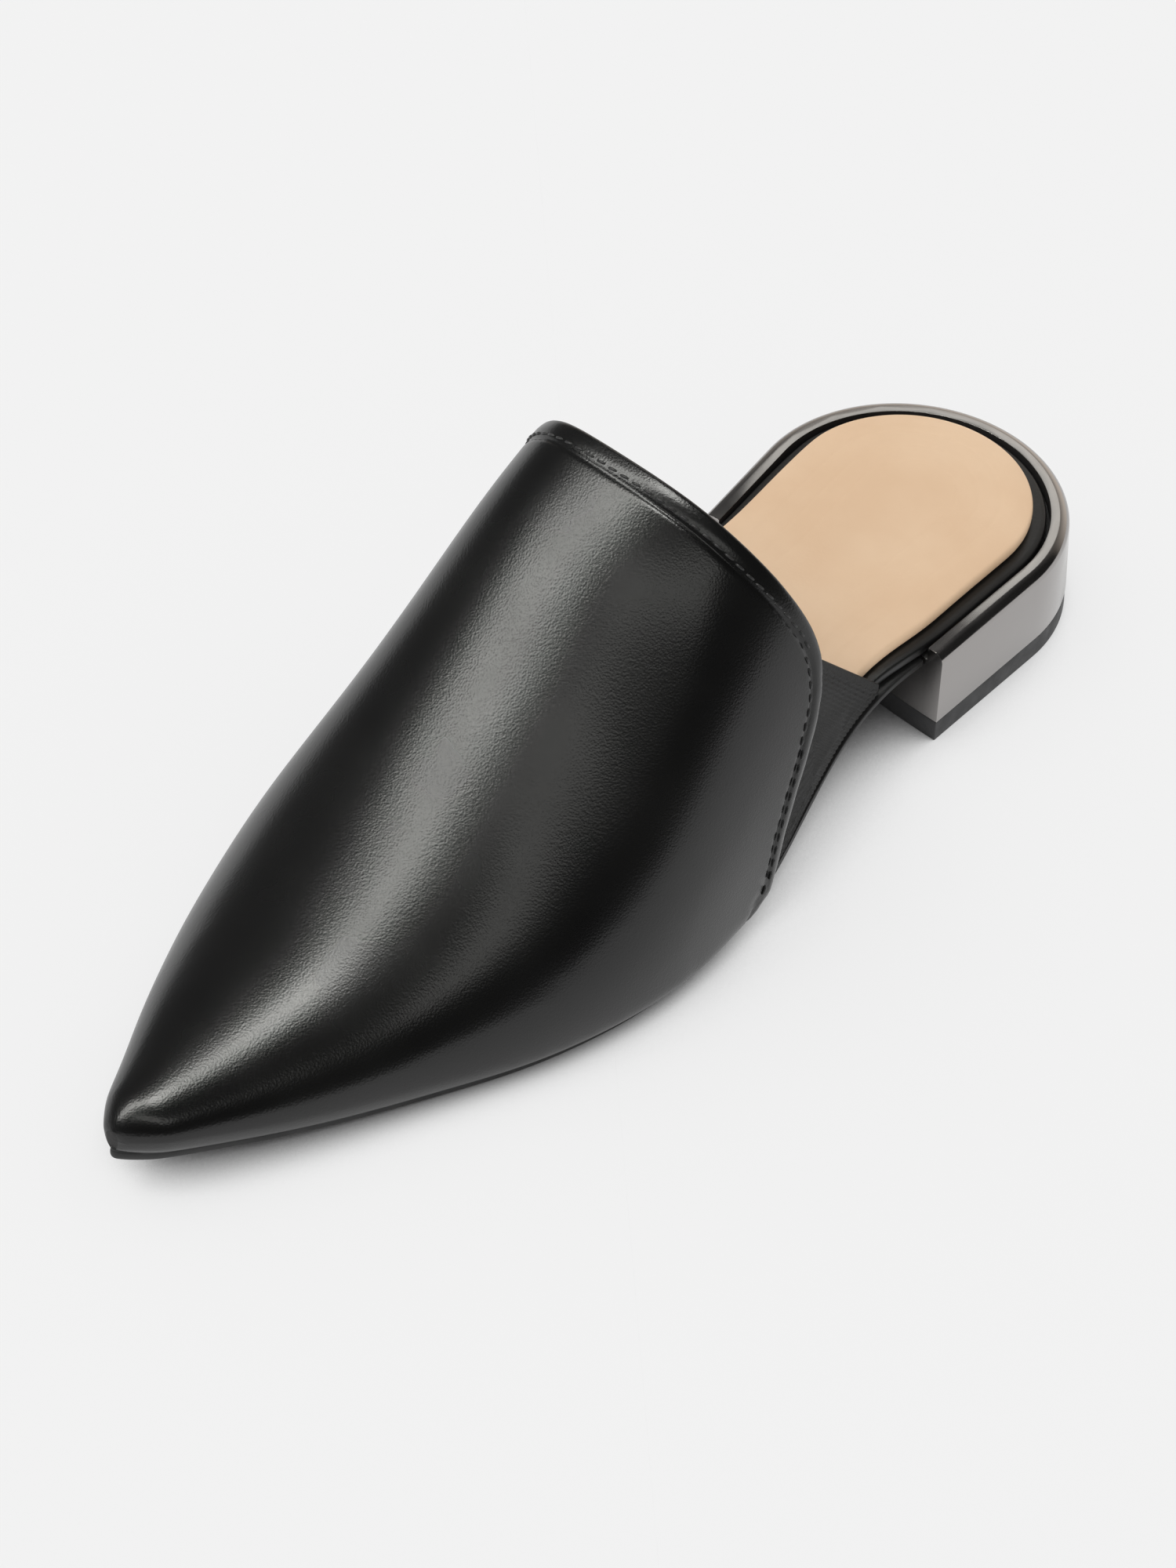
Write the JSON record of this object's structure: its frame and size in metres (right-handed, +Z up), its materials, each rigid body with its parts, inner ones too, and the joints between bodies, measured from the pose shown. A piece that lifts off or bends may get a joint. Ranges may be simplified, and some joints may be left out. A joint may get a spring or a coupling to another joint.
{
  "type": "mule shoe",
  "caption": "Pointed-toe leather slip-on mule for the left foot, with an open heel, padded insole, elastic side gusset and low metal-clad block heel.",
  "frame": {"origin": "on the floor under the middle of the shoe's bounding box", "axes": "+X from the heel to the toe, +Y to the outer (lateral) side of the left foot, +Z up from the floor"},
  "size_m": [0.2696, 0.0874, 0.0914],
  "materials": {
    "upper_leather": "smooth black calf with a fine grain and a satin gloss",
    "elastic": "matt black woven elastic with fine ribs",
    "sock_leather": "padded nude leather, soft matt",
    "board_cover": "black leather wrapped over the board's edge, satin",
    "outsole": "black resin sole, matt",
    "heel_metal": "polished gunmetal",
    "top_lift": "black rubber, matt"
  },
  "bodies": {
    "root": {"upper": "upper_leather", "elastic_gore": "elastic", "insole_sock": "sock_leather", "insole_board": "board_cover", "outsole": "outsole", "heel": "heel_metal", "top_lift": "top_lift"}
  },
  "joints": []
}
